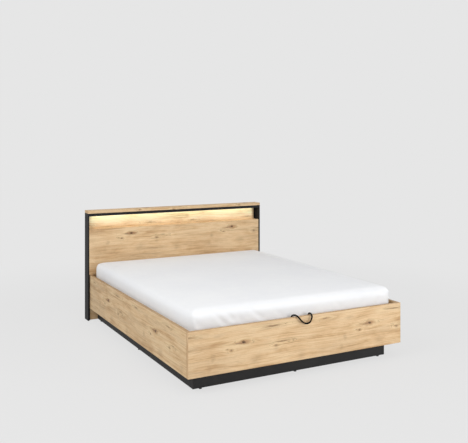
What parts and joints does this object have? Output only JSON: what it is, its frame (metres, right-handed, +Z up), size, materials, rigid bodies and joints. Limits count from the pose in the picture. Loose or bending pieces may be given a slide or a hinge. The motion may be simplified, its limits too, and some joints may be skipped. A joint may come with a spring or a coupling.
{
  "type": "ottoman bed",
  "caption": "Double ottoman bed: oak box on a dark plinth, lit headboard niche, slatted platform that lifts on arms and gas struts",
  "frame": {"origin": "middle of the floor rectangle under the whole bed, on the floor", "axes": "+Z up, +Y from the foot to the headboard, +X to the right for someone looking from the foot to the head"},
  "size_m": [1.716, 2.1698, 0.95],
  "materials": {
    "oak": "knotty oak foil, matt",
    "black_board": "matt anthracite faced board",
    "plain_board": "plain faced board",
    "softwood": "planed softwood",
    "slat_wood": "laminated birch, varnished",
    "frame_steel": "black powder coat",
    "zinc_steel": "zinc plated",
    "strut_black": "black enamel",
    "strut_chrome": "polished rod",
    "profile_metal": "anodised",
    "diffuser": "milky cover, lit warm white",
    "tape": "light tape",
    "driver_plastic": "white housing",
    "dark_plastic": "black moulding",
    "lead_skin": "black sheath",
    "mattress_fabric": "white stretch cover",
    "cord_fabric": "dark braided loop"
  },
  "bodies": {
    "root": {"headboard_left_side": "black_board", "headboard_right_side": "black_board", "headboard_top_board": "oak", "headboard_top_rail": "black_board", "headboard_back_panel": "oak", "headboard_front_panel": "oak", "headboard_lower_panel": "oak", "headboard_ledge": "oak", "headboard_spacers": "softwood", "headboard_screws": "zinc_steel", "light_profile": "profile_metal", "light_tape": "tape", "light_diffuser": "diffuser", "light_driver": "driver_plastic", "light_inlet": "dark_plastic", "light_lead": "lead_skin", "lead_clips": "driver_plastic", "side_rail_left": "oak", "side_rail_right": "oak", "footboard": "oak", "plinth_left": "black_board", "plinth_right": "black_board", "plinth_front": "black_board", "plinth_back": "black_board", "centre_beam": "plain_board", "floor_panel_foot": "plain_board", "floor_panel_head": "plain_board", "floor_battens": "softwood", "corner_angles": "zinc_steel", "box_screws": "zinc_steel", "glide_feet": "dark_plastic", "platform_rests": "softwood", "lift_base_left": "zinc_steel", "lift_base_right": "zinc_steel", "base_pins": "zinc_steel"},
    "main_arms": {"main_arm_left": "zinc_steel", "main_arm_right": "zinc_steel"},
    "platform": {"platform_bracket_left": "zinc_steel", "platform_bracket_right": "zinc_steel", "bracket_pins": "zinc_steel", "bracket_bolts": "zinc_steel", "platform_side_tubes": "frame_steel", "platform_foot_tube": "frame_steel", "platform_head_tube": "frame_steel", "platform_centre_tube": "frame_steel", "slats_left": "slat_wood", "slats_right": "slat_wood", "slat_holders": "dark_plastic", "mattress_stops": "frame_steel", "cord_tab": "frame_steel", "cord_knots": "cord_fabric", "pull_cord": "cord_fabric", "mattress": "mattress_fabric"},
    "rear_arms": {"rear_arm_left": "zinc_steel", "rear_arm_right": "zinc_steel", "strut_studs": "zinc_steel"},
    "strut_tubes": {"strut_tube_left": "strut_black", "strut_tube_right": "strut_black"},
    "strut_rods": {"strut_rod_left": "strut_chrome", "strut_rod_right": "strut_chrome"}
  },
  "joints": [
    {"name": "arm_lift", "type": "hinge", "parent": "root", "child": "main_arms", "pos_m": [0, -0.0485, 0.228], "axis": [1, 0, 0], "range_deg": [0, 47.9]},
    {"name": "platform_tilt", "type": "hinge", "parent": "main_arms", "child": "platform", "pos_m": [0, 0.4195, 0.258], "axis": [1, 0, 0], "range_deg": [-84, 0]},
    {"name": "rear_arm_swing", "type": "hinge", "parent": "root", "child": "rear_arms", "pos_m": [0, 0.1515, 0.325], "axis": [1, 0, 0], "range_deg": [0, 60]},
    {"name": "strut_tube_swing", "type": "hinge", "parent": "root", "child": "strut_tubes", "pos_m": [0, -0.0155, 0.148], "axis": [1, 0, 0], "range_deg": [0, 29.4]},
    {"name": "strut_rod_swing", "type": "hinge", "parent": "rear_arms", "child": "strut_rods", "pos_m": [0, 0.3125, 0.152], "axis": [1, 0, 0], "range_deg": [-30.8, 0]}
  ],
  "couplings": [
    {"joint": "platform_tilt", "follows": "arm_lift", "ratio": -1.7516},
    {"joint": "rear_arm_swing", "follows": "arm_lift", "ratio": 1.2513},
    {"joint": "strut_tube_swing", "follows": "arm_lift", "ratio": 0.6116},
    {"joint": "strut_rod_swing", "follows": "arm_lift", "ratio": -0.6397}
  ]
}
